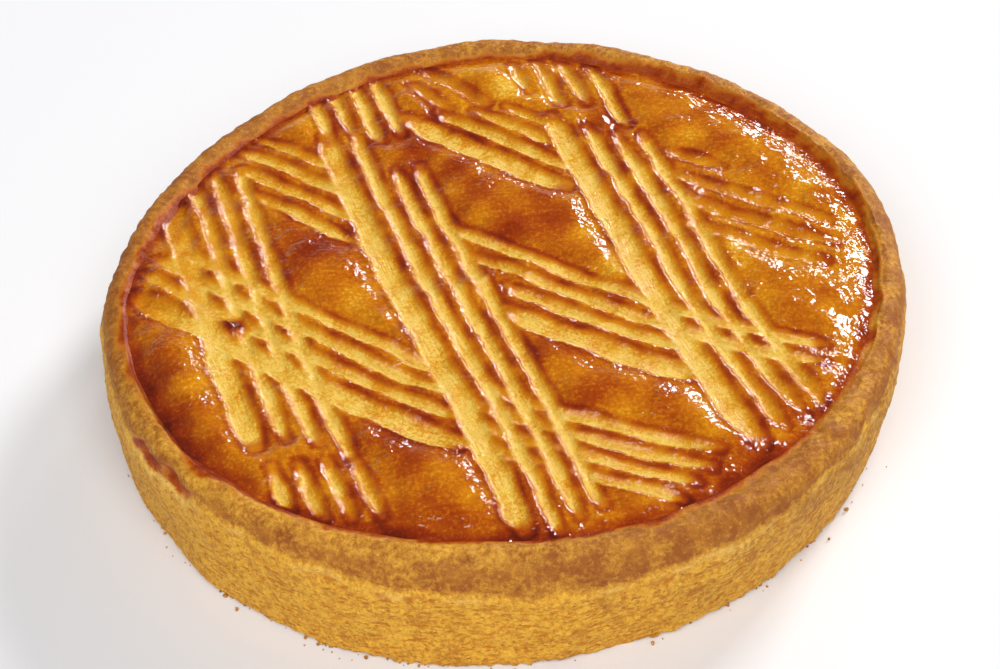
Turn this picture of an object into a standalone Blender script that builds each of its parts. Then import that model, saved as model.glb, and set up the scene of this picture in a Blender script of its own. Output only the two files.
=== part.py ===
"""Basque cake: a round, filled butter cake with a glazed lid, scored with a fork.

The whole cake is one closed solid.  The wall swells a little as it rises, rolls over in a
fat shoulder to a low lip, and drops into a crease.  Inside the crease sits the lid, a
shallow dome.  A four-tined fork was dragged across the lid a dozen times before baking,
and every tine left a groove.

Sizes are metres and +Z is up.  The origin is the middle of the base, on the table.
"""

import math
from dataclasses import dataclass

import bmesh
import bpy
from mathutils import Vector

# ---- driving sizes ------------------------------------------------------------------------
BASE_RADIUS = 0.1100            # a cake baked in a 22 cm tin
BELLY_RADIUS = 0.1132           # the wall where the shoulder begins
BELLY_HEIGHT = 0.0265
SHOULDER_HEIGHT = 0.0405        # top of the lip round the lid
SHOULDER_INNER_RADIUS = 0.1065  # where the shoulder has levelled out into the lip
SHOULDER_FULLNESS = 2.6         # 2 is an ellipse, more is squarer
CREASE_RADIUS = 0.1032          # the lid's edge, tucked down against the lip
CREASE_HEIGHT = 0.0386
LIP_INNER_RADIUS = 0.1047
LIP_INNER_HEIGHT = 0.0398

BASE_EDGE = 0.0015              # rounding of the edge that stands on the table
BASE_CENTRE = Vector((-0.00175, -0.00124, 0.0))
LID_LEAN = Vector((0.0031, 0.0, 0.0))       # how far the lid has slid over the base

LID_ROLL = 0.0014               # rise of the lid over its rolled-down edge
LID_ROLL_SHARPNESS = 16         # how close to the crease the edge rolls down
LID_DOME = 0.0013               # rise of the dome from the edge to the middle

# Waves in the outline, as (lobes, share of the radius, direction in degrees).
BASE_WAVES = ((2, 0.0041, 15), (3, 0.0026, -56), (4, 0.0034, 3), (5, 0.0029, 141))
LID_WAVES = ((2, 0.0090, -28), (3, 0.0091, -111), (4, 0.0058, 99), (5, 0.0062, 100))

# The fork: four tines, and the groove that each one leaves.
TINE_PITCH = 0.0068
GROOVE_WIDTH = 0.0044
GROOVE_DEPTH = 0.0015
TILTED_EXTRA = 0.0032           # a tilted fork's outer tine ploughs this much wider
GROOVE_STEP = 0.0105            # spacing of the sections along a groove
GROOVE_RUNOUT = 0.0028          # length over which a tine lifts out of the dough
GROOVE_LIFT = 0.0014            # how far a cutting section reaches above the lid
GROOVE_MOUTH = 1.28             # width at that height, as a share of the groove's width
GROOVE_SHELF = 0.70             # width low down, where the round floor begins
GROOVE_FLOOR_ROUNDING = 0.25    # share of the depth taken by the round floor
TINE_TIP_WIDTH = 0.55           # share of the width left where the tine lifts out
TINE_TIP_CLEARANCE = 0.3        # share of GROOVE_LIFT by which its tip clears the lid there

# ---- facets -------------------------------------------------------------------------------
OUTLINE_SEGMENTS = 72
WALL_STEPS = 3
SHOULDER_STEPS = 6
LID_RING_SHARES = (0.985, 0.955, 0.88, 0.74, 0.57, 0.38, 0.19)
SLIVER = 0.00003                # corners left closer than this by the cuts are merged
SHARP_ANGLE = math.radians(35.0)
PATH_NUDGE = 0.01               # share of a path used to find which way it heads

CRUST_COLOUR = (0.52, 0.17, 0.02, 1.0)
CRUST_ROUGHNESS = 0.35


@dataclass(frozen=True)
class Drag:
    """One drag of the fork across the lid.

    path: Bezier points of the fork's middle, measured from the middle of the lid.
    spans: for each tine, from the right-hand side of the drag, the shares of the path
        where it goes in and where it comes out.
    tilted: the right-hand tine ploughs a wider groove than the others.
    """

    path: tuple
    spans: tuple
    tilted: bool = False
    pitch: float = TINE_PITCH
    depth: float = GROOVE_DEPTH


# Drags away from the back edge towards the front, then those that cross them.
DRAGS = (
    Drag(((-0.0873, 0.0583), (-0.0744, 0.0119), (-0.0668, -0.0273), (-0.0534, -0.0722)),
         ((0.05, 0.88), (0.01, 0.89), (0.01, 0.93), (0.03, 1.00)), tilted=True),
    Drag(((-0.0559, -0.0640), (-0.0466, -0.0943)),
         ((0.05, 0.55), (0.12, 0.76), (0.18, 0.86), (0.28, 0.99))),
    Drag(((-0.0455, 0.0978), (-0.0365, 0.0620)),
         ((0.15, 0.74), (0.07, 0.80), (0.07, 0.98), (0.07, 0.97))),
    Drag(((-0.0383, 0.0713), (-0.0248, 0.0128), (-0.0026, -0.0413), (0.0122, -0.1004)),
         ((0.00, 0.98), (0.01, 1.00), (0.13, 0.98), (0.14, 0.97)), tilted=True),
    Drag(((0.0177, 0.1031), (0.0308, 0.0589)),
         ((0.06, 0.38), (0.06, 0.59), (0.14, 0.65), (0.24, 0.97)), pitch=0.0073),
    Drag(((0.0286, 0.0741), (0.0463, 0.0246), (0.0519, -0.0223), (0.0745, -0.0694)),
         ((0.01, 0.98), (0.06, 0.97), (0.11, 0.96), (0.13, 0.97)), tilted=True),
    Drag(((-0.0801, 0.0645), (-0.0569, 0.0482), (-0.0338, 0.0263)),
         ((0.34, 1.00), (0.15, 0.90), (0.04, 0.80), (0.06, 0.59)), pitch=0.0075),
    Drag(((-0.0178, 0.0818), (0.0047, 0.0624), (0.0276, 0.0455)),
         ((0.00, 1.00), (0.10, 0.96), (0.24, 0.76), (0.36, 0.66)), tilted=True),
    Drag(((-0.0192, 0.0122), (0.0169, -0.0130), (0.0460, -0.0363), (0.0892, -0.0500)),
         ((0.25, 0.71), (0.21, 0.67), (0.08, 0.95), (0.00, 0.94)), tilted=True),
    Drag(((-0.1053, 0.0209), (-0.0737, -0.0075), (-0.0416, -0.0337), (-0.0091, -0.0579)),
         ((0.10, 1.00), (0.06, 0.95), (0.05, 0.91), (0.07, 0.84)), tilted=True),
    Drag(((0.0422, 0.0399), (0.0723, 0.0188), (0.1001, 0.0046)),
         ((0.28, 0.93), (0.18, 0.93), (0.10, 0.84), (0.03, 0.27)), pitch=0.0088, depth=0.0009),
    Drag(((0.0048, -0.0649), (0.0258, -0.0744), (0.0483, -0.0826)),
         ((0.32, 0.92), (0.19, 0.96), (0.12, 0.99), (0.00, 1.00)), pitch=0.0065),
    Drag(((-0.0245, 0.0978), (-0.0041, 0.0745)),
         ((0.23, 0.77), (0.06, 0.99)), pitch=0.0090, depth=0.0009),
)


def wave(waves, angle):
    """Return what the outline's waves multiply the radius by at an angle."""
    swell = 0.0
    for lobes, share, direction in waves:
        swell += share * math.cos(lobes * angle - math.radians(direction))
    return 1.0 + swell


def side_point(radius, height, angle):
    """Place a point of the turned profile on the leaning, wavy cake."""
    climb = height / SHOULDER_HEIGHT
    swell = wave(BASE_WAVES, angle) * (1.0 - climb) + wave(LID_WAVES, angle) * climb
    outward = Vector((math.cos(angle), math.sin(angle), 0.0)) * radius * swell
    return BASE_CENTRE + LID_LEAN * climb + outward + Vector((0.0, 0.0, height))


def lid_height(x, y):
    """Return the height of the lid at a point measured from the middle of the lid."""
    share = min(math.hypot(x, y) / CREASE_RADIUS, 1.0)
    roll = math.sqrt(1.0 - share ** LID_ROLL_SHARPNESS)
    return CREASE_HEIGHT + LID_ROLL * roll + LID_DOME * (1.0 - share ** 2)


def turned_profile():
    """List the (radius, height) pairs from the base, up the wall and in to the middle."""
    profile = [(BASE_RADIUS - BASE_EDGE, 0.0)]
    for step in range(WALL_STEPS + 1):
        share = step / WALL_STEPS
        radius = BASE_RADIUS + (BELLY_RADIUS - BASE_RADIUS) * share
        profile.append((radius, BASE_EDGE + (BELLY_HEIGHT - BASE_EDGE) * share))
    for step in range(1, SHOULDER_STEPS + 1):
        turn = 0.5 * math.pi * step / SHOULDER_STEPS
        out = max(math.cos(turn), 0.0) ** (2.0 / SHOULDER_FULLNESS)
        rise = math.sin(turn) ** (2.0 / SHOULDER_FULLNESS)
        radius = SHOULDER_INNER_RADIUS + (BELLY_RADIUS - SHOULDER_INNER_RADIUS) * out
        profile.append((radius, BELLY_HEIGHT + (SHOULDER_HEIGHT - BELLY_HEIGHT) * rise))
    profile.append((LIP_INNER_RADIUS, LIP_INNER_HEIGHT))
    profile.append((CREASE_RADIUS, CREASE_HEIGHT))
    for share in LID_RING_SHARES:
        radius = CREASE_RADIUS * share
        profile.append((radius, lid_height(radius, 0.0)))
    return profile


def bezier_point(points, share):
    """Return the point of a Bezier curve, by repeated blending of its control points."""
    level = [Vector(point) for point in points]
    while len(level) > 1:
        level = [a.lerp(b, share) for a, b in zip(level, level[1:])]
    return level[0]


def leftward(points, share):
    """Return the direction square to the left of a Bezier path at a share of it."""
    ahead = bezier_point(points, share + PATH_NUDGE) - bezier_point(points, share - PATH_NUDGE)
    return Vector((-ahead.y, ahead.x)).normalized()


def add_object(name, mesh_builder):
    """Make a mesh object from a bmesh, with its faces pointing out."""
    bmesh.ops.recalc_face_normals(mesh_builder, faces=mesh_builder.faces)
    mesh = bpy.data.meshes.new(name)
    mesh_builder.to_mesh(mesh)
    mesh_builder.free()
    solid = bpy.data.objects.new(name, mesh)
    bpy.context.scene.collection.objects.link(solid)
    return solid


def bridge(mesh_builder, lower, upper):
    """Join two rings that have the same number of vertices with a band of quads."""
    count = len(lower)
    for index in range(count):
        following = (index + 1) % count
        mesh_builder.faces.new((lower[index], lower[following], upper[following], upper[index]))


def build_body():
    """Turn the profile into the plain cake, with no grooves yet."""
    mesh_builder = bmesh.new()
    rings = []
    for radius, height in turned_profile():
        ring = []
        for segment in range(OUTLINE_SEGMENTS):
            angle = 2.0 * math.pi * segment / OUTLINE_SEGMENTS
            ring.append(mesh_builder.verts.new(side_point(radius, height, angle)))
        rings.append(ring)
    for lower, upper in zip(rings, rings[1:]):
        bridge(mesh_builder, lower, upper)
    mesh_builder.faces.new(rings[0])
    crown = mesh_builder.verts.new(side_point(0.0, lid_height(0.0, 0.0), 0.0))
    for index, vertex in enumerate(rings[-1]):
        following = rings[-1][(index + 1) % OUTLINE_SEGMENTS]
        mesh_builder.faces.new((vertex, following, crown))
    return add_object("cake", mesh_builder)


def groove_section(width, depth, bite):
    """List (across, up) corners of a groove's cutting section.

    bite is 1 where the tine is at full depth and 0 where it has just left the dough.
    """
    half = 0.5 * width * (TINE_TIP_WIDTH + (1.0 - TINE_TIP_WIDTH) * bite)
    floor = TINE_TIP_CLEARANCE * GROOVE_LIFT * (1.0 - bite) - depth * bite
    shelf = floor + GROOVE_FLOOR_ROUNDING * depth * bite
    return (
        (-half * GROOVE_MOUTH, GROOVE_LIFT),
        (-half * GROOVE_SHELF, shelf),
        (0.0, floor),
        (half * GROOVE_SHELF, shelf),
        (half * GROOVE_MOUTH, GROOVE_LIFT),
    )


def groove_stations(path, span):
    """List (share of the path, bite) pairs for a tine: a run-in, the cut and a run-out."""
    start, end = span
    length = (bezier_point(path, end) - bezier_point(path, start)).length
    runout = GROOVE_RUNOUT / length * (end - start)
    cuts = max(2, round(length / GROOVE_STEP))
    stations = [(start, 0.0)]
    for cut in range(cuts + 1):
        share = start + runout + (end - start - 2.0 * runout) * cut / cuts
        stations.append((share, 1.0))
    stations.append((end, 0.0))
    return stations


def build_groove_cutter(name, drag, tine):
    """Sweep one tine's section along the drag, just under the lid's surface."""
    offset = (tine - 0.5 * (len(drag.spans) - 1)) * drag.pitch
    width = GROOVE_WIDTH
    if drag.tilted and tine == 0:
        width += TILTED_EXTRA
        offset -= 0.5 * TILTED_EXTRA
    mesh_builder = bmesh.new()
    sections = []
    for share, bite in groove_stations(drag.path, drag.spans[tine]):
        left = leftward(drag.path, share)
        centre = bezier_point(drag.path, share) + left * offset
        section = []
        for across, up in groove_section(width, drag.depth, bite):
            spot = centre + left * across
            height = lid_height(centre.x, centre.y) + up
            section.append(mesh_builder.verts.new(on_lid(spot.x, spot.y, height)))
        sections.append(section)
    for near, far in zip(sections, sections[1:]):
        bridge(mesh_builder, near, far)
    mesh_builder.faces.new(sections[0])
    mesh_builder.faces.new(sections[-1])
    cutter = add_object(name, mesh_builder)
    cutter.hide_render = True
    cutter.display_type = "WIRE"
    return cutter


def on_lid(x, y, height):
    """Turn a point measured from the middle of the lid into the cake's own frame."""
    angle = math.atan2(y, x)
    return side_point(math.hypot(x, y), SHOULDER_HEIGHT, angle) + Vector(
        (0.0, 0.0, height - SHOULDER_HEIGHT))


def score_lid(cake):
    """Cut every tine's groove into the lid, then drop the cutters."""
    cutters = bpy.data.collections.new("groove_cutters")
    bpy.context.scene.collection.children.link(cutters)
    for number, drag in enumerate(DRAGS):
        for tine in range(len(drag.spans)):
            cutter = build_groove_cutter(f"groove_{number}_{tine}", drag, tine)
            bpy.context.scene.collection.objects.unlink(cutter)
            cutters.objects.link(cutter)
    scoring = cake.modifiers.new("scoring", "BOOLEAN")
    scoring.operation = "DIFFERENCE"
    scoring.operand_type = "COLLECTION"
    scoring.collection = cutters
    scoring.solver = "MANIFOLD"
    bpy.context.view_layer.objects.active = cake
    bpy.ops.object.modifier_apply(modifier=scoring.name)
    for cutter in list(cutters.objects):
        bpy.data.objects.remove(cutter)
    bpy.data.collections.remove(cutters)


def merge_slivers(cake):
    """Merge the corners that crossing cuts leave almost on top of each other."""
    mesh_builder = bmesh.new()
    mesh_builder.from_mesh(cake.data)
    bmesh.ops.triangulate(mesh_builder, faces=mesh_builder.faces[:])
    bmesh.ops.remove_doubles(mesh_builder, verts=mesh_builder.verts[:], dist=SLIVER)
    bmesh.ops.dissolve_degenerate(mesh_builder, edges=mesh_builder.edges[:], dist=SLIVER / 3.0)
    bmesh.ops.triangulate(mesh_builder, faces=mesh_builder.faces[:])
    mesh_builder.to_mesh(cake.data)
    mesh_builder.free()


def bake_finish(cake):
    """Give the cake its baked, glazed crust."""
    crust = bpy.data.materials.new("glazed_crust")
    crust.use_nodes = True
    shader = crust.node_tree.nodes["Principled BSDF"]
    shader.inputs["Base Color"].default_value = CRUST_COLOUR
    shader.inputs["Roughness"].default_value = CRUST_ROUGHNESS
    shader.inputs["Metallic"].default_value = 0.0
    cake.data.materials.clear()
    cake.data.materials.append(crust)
    cake.data.shade_smooth()
    cake.data.set_sharp_from_angle(angle=SHARP_ANGLE)


def main():
    """Build the cake in an empty scene."""
    for leftover in list(bpy.data.objects):
        bpy.data.objects.remove(leftover)
    cake = build_body()
    score_lid(cake)
    merge_slivers(cake)
    bake_finish(cake)


main()
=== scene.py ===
"""Basque cake: a round butter cake with an egg-washed lid, scored with a fork, and a plain wall.

The cake is dressed in three pieces, all worked out as numpy surfaces: the glazed lid, the wall
with its rolled shoulder and lip, and the crumbs at its foot.  Sizes are millimetres until a
mesh is written, +Z is up, and the origin is the middle of the base, on the table.
"""

import logging
import math
from dataclasses import dataclass
from enum import Enum
from functools import partial

import bpy
import numpy as np
from mathutils import Matrix, Vector

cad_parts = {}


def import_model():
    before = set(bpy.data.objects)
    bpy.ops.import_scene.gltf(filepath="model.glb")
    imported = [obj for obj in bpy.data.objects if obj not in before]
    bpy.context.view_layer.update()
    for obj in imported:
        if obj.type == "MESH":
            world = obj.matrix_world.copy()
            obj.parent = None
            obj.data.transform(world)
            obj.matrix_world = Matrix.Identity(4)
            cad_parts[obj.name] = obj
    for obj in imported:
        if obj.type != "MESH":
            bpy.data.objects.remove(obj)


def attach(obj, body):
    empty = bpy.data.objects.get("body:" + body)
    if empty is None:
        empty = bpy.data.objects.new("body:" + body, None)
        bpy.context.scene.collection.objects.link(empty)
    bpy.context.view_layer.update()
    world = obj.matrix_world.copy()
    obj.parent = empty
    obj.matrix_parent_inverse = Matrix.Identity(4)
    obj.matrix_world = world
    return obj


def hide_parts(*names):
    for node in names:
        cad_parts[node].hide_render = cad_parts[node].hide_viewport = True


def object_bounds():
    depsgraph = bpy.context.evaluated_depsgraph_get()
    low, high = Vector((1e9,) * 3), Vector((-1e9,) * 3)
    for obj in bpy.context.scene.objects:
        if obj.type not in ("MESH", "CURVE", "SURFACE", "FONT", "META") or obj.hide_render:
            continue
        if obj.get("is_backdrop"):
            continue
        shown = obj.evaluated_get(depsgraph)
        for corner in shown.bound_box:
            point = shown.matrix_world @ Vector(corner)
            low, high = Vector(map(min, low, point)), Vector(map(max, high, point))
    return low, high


LOG = logging.getLogger("basque_cake")
MM = 0.001  # metres in a millimetre
PER_METRE = 1000.0  # millimetres in a metre
BODY = "root"
NODE = "cake"

Waves = tuple[tuple[int, float, float], ...]
Points2D = tuple[tuple[float, float], ...]
# Where a share rises from 0, and where it reaches 1.
Ramp = tuple[float, float]
# A noise pattern of a finish: its lumps' size in mm, its detail and its roughness.
Grain = tuple[float, float, float]

# A Mix node's sockets, by what it mixes.
VALUE_A, VALUE_B = 2, 3
COLOUR_A, COLOUR_B = 6, 7

SHARP = math.radians(62.0)  # faces that meet at more than this keep a crisp edge


# ---- small tools ----


def linear(colour: str) -> tuple[float, float, float, float]:
    """Turn an sRGB hex colour into Blender's linear one.

    Args:
        colour: six hex digits with a leading #.

    Returns:
        Linear red, green and blue, and an alpha of 1.
    """
    channels = [int(colour[place:place + 2], 16) / 255.0 for place in (1, 3, 5)]
    bent = [c / 12.92 if c <= 0.04045 else ((c + 0.055) / 1.055) ** 2.4 for c in channels]
    return bent[0], bent[1], bent[2], 1.0


def feed(node: bpy.types.Node, inputs: dict | tuple) -> None:
    """Set a node's sockets, or link what feeds them.

    Args:
        node: the node.
        inputs: what each socket gets, by its name or number or in order: a value, a socket,
            or a node, whose first output in use is taken.
    """
    for name, value in inputs.items() if isinstance(inputs, dict) else enumerate(inputs):
        if isinstance(value, bpy.types.Node):
            value = next(output for output in value.outputs if output.enabled)
        if isinstance(value, bpy.types.NodeSocket):
            node.id_data.links.new(value, node.inputs[name])
        else:
            node.inputs[name].default_value = value


def add_node(tree: bpy.types.NodeTree, kind: str, inputs: dict | tuple = (),
             **settings: object) -> bpy.types.Node:
    """Add a shader node with its settings and links.

    Args:
        tree: the material's node tree.
        kind: the node's Blender type, after the word ShaderNode.
        inputs: what its sockets get, as feed takes it.
        settings: the node's own properties.

    Returns:
        The new node.
    """
    node = tree.nodes.new("ShaderNode" + kind)
    for name, value in settings.items():
        setattr(node, name, value)
    feed(node, inputs)
    return node


def new_material(name: str) -> tuple[bpy.types.Material, bpy.types.NodeTree, bpy.types.Node]:
    """Add a material and return it, its node tree and its shader."""
    material = bpy.data.materials.new(name)
    material.use_nodes = True
    tree = material.node_tree
    return material, tree, tree.nodes["Principled BSDF"]


def into_scene(name: str, data: bpy.types.ID) -> bpy.types.Object:
    """Add an object that shows a mesh, a light or a camera to the scene."""
    thing = bpy.data.objects.new(name, data)
    bpy.context.scene.collection.objects.link(thing)
    return thing


def smoothstep(low: float, high: float, value: np.ndarray) -> np.ndarray:
    """Rise from 0 at low to 1 at high along 3t^2 - 2t^3."""
    share = np.clip((value - low) / (high - low), 0.0, 1.0)
    return share * share * (3.0 - 2.0 * share)


def bell(value: np.ndarray, width: float) -> np.ndarray:
    """Return exp(-(value / width)^2), which is 1 at 0 and falls off on both sides."""
    return np.exp(-np.square(value / width))


def turn_between(angle: np.ndarray, middle: float) -> np.ndarray:
    """Return how many degrees each angle in radians lies from a middle, from -180 to 180."""
    return (np.degrees(angle) - middle + 180.0) % 360.0 - 180.0


def unevenness(points: np.ndarray, size: float, seed: int, waves: int = 26) -> np.ndarray:
    """Smooth seeded noise: the sum of plane cosine waves in random directions.

    Each wave's length is drawn between 0.7 and 1.6 times the size, and the sum is divided by
    the root of half the number of waves, so that it spreads about 1 to each side of 0.

    Args:
        points: their coordinates in mm along the last axis.
        size: the usual distance from one lump to the next, in mm.
        seed: picks the pattern.
        waves: how many waves are summed.

    Returns:
        One value a point.
    """
    draw = np.random.default_rng(seed)
    directions = draw.normal(size=(waves, points.shape[-1]))
    directions /= np.linalg.norm(directions, axis=1, keepdims=True)
    lengths = size * draw.uniform(0.7, 1.6, (waves, 1))
    phases = draw.uniform(0.0, 2.0 * math.pi, waves)
    turns = points @ (directions * 2.0 * math.pi / lengths).T + phases
    return np.cos(turns).sum(axis=-1) / math.sqrt(0.5 * waves)


def around(angle: np.ndarray, readings: Points2D) -> np.ndarray:
    """Blend smoothly between readings taken round the cake.

    Args:
        angle: directions in radians.
        readings: (degrees, value) pairs, which s-curves join round the circle.

    Returns:
        One value a direction.
    """
    degrees = np.degrees(angle) % 360.0
    stops = sorted((turn % 360.0, value) for turn, value in readings)
    closed = [(stops[-1][0] - 360.0, stops[-1][1])] + stops + [(stops[0][0] + 360.0, stops[0][1])]
    value = np.zeros_like(degrees)
    for (low, first), (high, second) in zip(closed, closed[1:]):
        inside = (degrees >= low) & (degrees < high)
        share = smoothstep(low, high, degrees[inside])
        value[inside] = first + (second - first) * share
    return value


def grid_faces(rows: int, columns: int, closed: bool) -> list[list[int]]:
    """List the quads of a grid of points numbered row by row.

    Args:
        rows: number of rows.
        columns: number of points in a row.
        closed: whether each row runs round to its start.

    Returns:
        The corners of each quad, anticlockwise seen from the side where the rows step left.
    """
    index = np.arange(rows * columns).reshape(rows, columns)
    if closed:
        index = np.hstack([index, index[:, :1]])
    corners = (index[:-1, :-1], index[:-1, 1:], index[1:, 1:], index[1:, :-1])
    return np.stack(corners, axis=-1).reshape(-1, 4).tolist()


def push_out(grid: np.ndarray, relief: np.ndarray) -> np.ndarray:
    """Move a closed grid's points along its normals.

    The normal is the cross product of the grid's two central differences.

    Args:
        grid: points as (rows, columns, 3), each row running round.
        relief: how far each point moves, in mm, as (rows, columns).

    Returns:
        The moved points.
    """
    along = np.roll(grid, -1, axis=1) - np.roll(grid, 1, axis=1)
    across = np.gradient(grid, axis=0)
    normal = np.cross(along, across)
    normal /= np.maximum(np.linalg.norm(normal, axis=-1, keepdims=True), 1e-9)
    return grid + normal * relief[..., None]


def write_piece(name: str, points: np.ndarray, faces: list[list[int]],
                finish: bpy.types.Material, readings: dict[str, np.ndarray]) -> bpy.types.Object:
    """Write a closed mesh piece and hang it on the cake's frame.

    Args:
        name: the piece's name.
        points: its points in mm, one row each.
        faces: its faces, pointing outwards.
        finish: its material.
        readings: named values or vectors a point, which the material reads.

    Returns:
        The finished object, at the origin.
    """
    mesh = bpy.data.meshes.new(name)
    mesh.from_pydata((points * MM).tolist(), [], faces)
    for title, values in readings.items():
        kind, field = ("FLOAT", "value") if values.ndim == 1 else ("FLOAT_VECTOR", "vector")
        layer = mesh.attributes.new(title, kind, "POINT")
        layer.data.foreach_set(field, values.astype(np.float32).ravel())
    mesh.shade_smooth()
    mesh.set_sharp_from_angle(angle=SHARP)
    mesh.materials.append(finish)
    piece = into_scene(name, mesh)
    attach(piece, BODY)
    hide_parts(NODE)
    mesh.calc_loop_triangles()
    LOG.info("%s: %d triangles", name, len(mesh.loop_triangles))
    return piece


# ---- what changes from place to place ----


def ring_points(angle: np.ndarray, radius: float) -> np.ndarray:
    """Return the points of a circle in each direction, in mm."""
    return np.stack([np.cos(angle), np.sin(angle)], axis=-1) * radius


@dataclass(frozen=True)
class Lumps:
    """Unevenness of a kind: the size of its lumps in mm, its strength, seed and waves."""

    size: float
    strength: float
    seed: int
    waves: int = 26

    def weigh(self, points: np.ndarray) -> np.ndarray:
        """Return the strength times the unevenness at each point."""
        return self.strength * unevenness(points, self.size, self.seed, self.waves)


@dataclass(frozen=True)
class Spot:
    """A round patch of the lid: its middle and reach in mm, and how strong it is."""

    x: float
    y: float
    reach: float
    strength: float

    def weigh(self, x: np.ndarray, y: np.ndarray) -> np.ndarray:
        """Return the strength times exp(-(distance / reach)^2)."""
        return self.strength * bell(np.hypot(x - self.x, y - self.y), self.reach)


@dataclass(frozen=True)
class Stretch:
    """A stretch of the cake's round: its middle and reach in degrees, and a strength."""

    direction: float
    reach: float
    strength: float = 1.0

    def weigh(self, angle: np.ndarray) -> np.ndarray:
        """Return the strength times exp(-(turn from the middle / reach)^2)."""
        return self.strength * bell(turn_between(angle, self.direction), self.reach)


def weigh_all(group: tuple, *where: np.ndarray) -> np.ndarray:
    """Add up what each lump, spot or stretch of a group weighs at each point."""
    return sum(part.weigh(*where) for part in group)


# ---- the cake's form ----


@dataclass(frozen=True)
class CakeForm:
    """The turned, leaning, slightly wavy form that the lid and the wall share, in mm."""

    base_radius: float = 110.0
    base_edge: float = 1.5
    belly_radius: float = 113.2
    belly_height: float = 26.5
    shoulder_height: float = 40.5
    shoulder_inner_radius: float = 106.5
    shoulder_fullness: float = 2.6
    crease_height: float = 38.6
    lid_radius: float = 103.2
    lid_roll: float = 1.4
    lid_roll_width: float = 8.5
    lid_dome: float = 1.3
    base_centre: tuple[float, float] = (-1.75, -1.24)
    lid_lean: tuple[float, float] = (3.1, 0.0)
    base_waves: Waves = ((2, 0.0041, 15), (3, 0.0026, -56), (4, 0.0034, 3), (5, 0.0029, 141))
    lid_waves: Waves = ((2, 0.0090, -28), (3, 0.0091, -111), (4, 0.0058, 99), (5, 0.0062, 100))
    # Where the lid's edge meets the lip: (direction in degrees, radius in mm).
    lid_edge: Points2D = ((0, 103.4), (45, 101.4), (90, 101.8), (135, 102.2), (160, 103.6),
                          (182, 105.6), (205, 104.6), (225, 103.8), (270, 103.2), (305, 101.2))
    edge_wobble: Lumps = Lumps(14.0, 0.2, seed=3)
    # Where the crease sinks into a valley, and how deep in mm.
    valley: Stretch = Stretch(-154.0, 15.0)
    valley_depth: float = 1.5
    # Where the crease is shallower, since the lid runs on into the lip: (degrees, mm).
    crease_lift: Points2D = ((0, 0.2), (90, 0.0), (150, 0.5), (181, 1.6), (203, 0.6),
                             (235, 0.6), (270, 1.0), (305, 0.8))

    def swell(self, waves: Waves, angle: np.ndarray) -> np.ndarray:
        """Return 1 + the sum of share * cos(lobes * angle - direction) over the waves."""
        total = np.ones_like(angle)
        for lobes, share, direction in waves:
            total += share * np.cos(lobes * angle - math.radians(direction))
        return total

    def place(self, radius: np.ndarray, height: np.ndarray, climb: np.ndarray,
              angle: np.ndarray) -> np.ndarray:
        """Set points of the turned form on the leaning, wavy cake.

        The middle moves from the base's to the lid's as climb goes from 0 to 1, and the
        radius is multiplied by the outline's waves, blended the same way.

        Args:
            radius: distance from the middle before the waves, in mm.
            height: height over the table, in mm.
            climb: 0 takes the base's outline, 1 the lid's.
            angle: direction in radians.

        Returns:
            Points with a last axis of x, y and z.
        """
        swell = (self.swell(self.base_waves, angle) * (1.0 - climb)
                 + self.swell(self.lid_waves, angle) * climb)
        (x, y), (lean_x, lean_y) = self.base_centre, self.lid_lean
        x = x + lean_x * climb + radius * swell * np.cos(angle)
        y = y + lean_y * climb + radius * swell * np.sin(angle)
        return np.stack(np.broadcast_arrays(x, y, height), axis=-1)

    def edge_radius(self, angle: np.ndarray) -> np.ndarray:
        """Return the radius at which the lid meets the lip, with its small wobble."""
        wobble = self.edge_wobble.weigh(ring_points(angle, self.lid_radius))
        return around(angle, self.lid_edge) + wobble

    def edge_height(self, angle: np.ndarray) -> np.ndarray:
        """Return the height of the crease between the lid and the lip."""
        level = self.crease_height - self.valley_depth * self.valley.weigh(angle)
        return level + around(angle, self.crease_lift)


# ---- the fork ----

STEP = 0.01  # share of a path over which its heading is taken


class Hold(Enum):
    """How the fork was held during a drag."""

    LEVEL = "level"
    TILTED = "tilted"  # its right-hand tine ploughs a wider groove
    LIGHT = "light"  # it only grazes the lid and leaves most of the glaze


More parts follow.
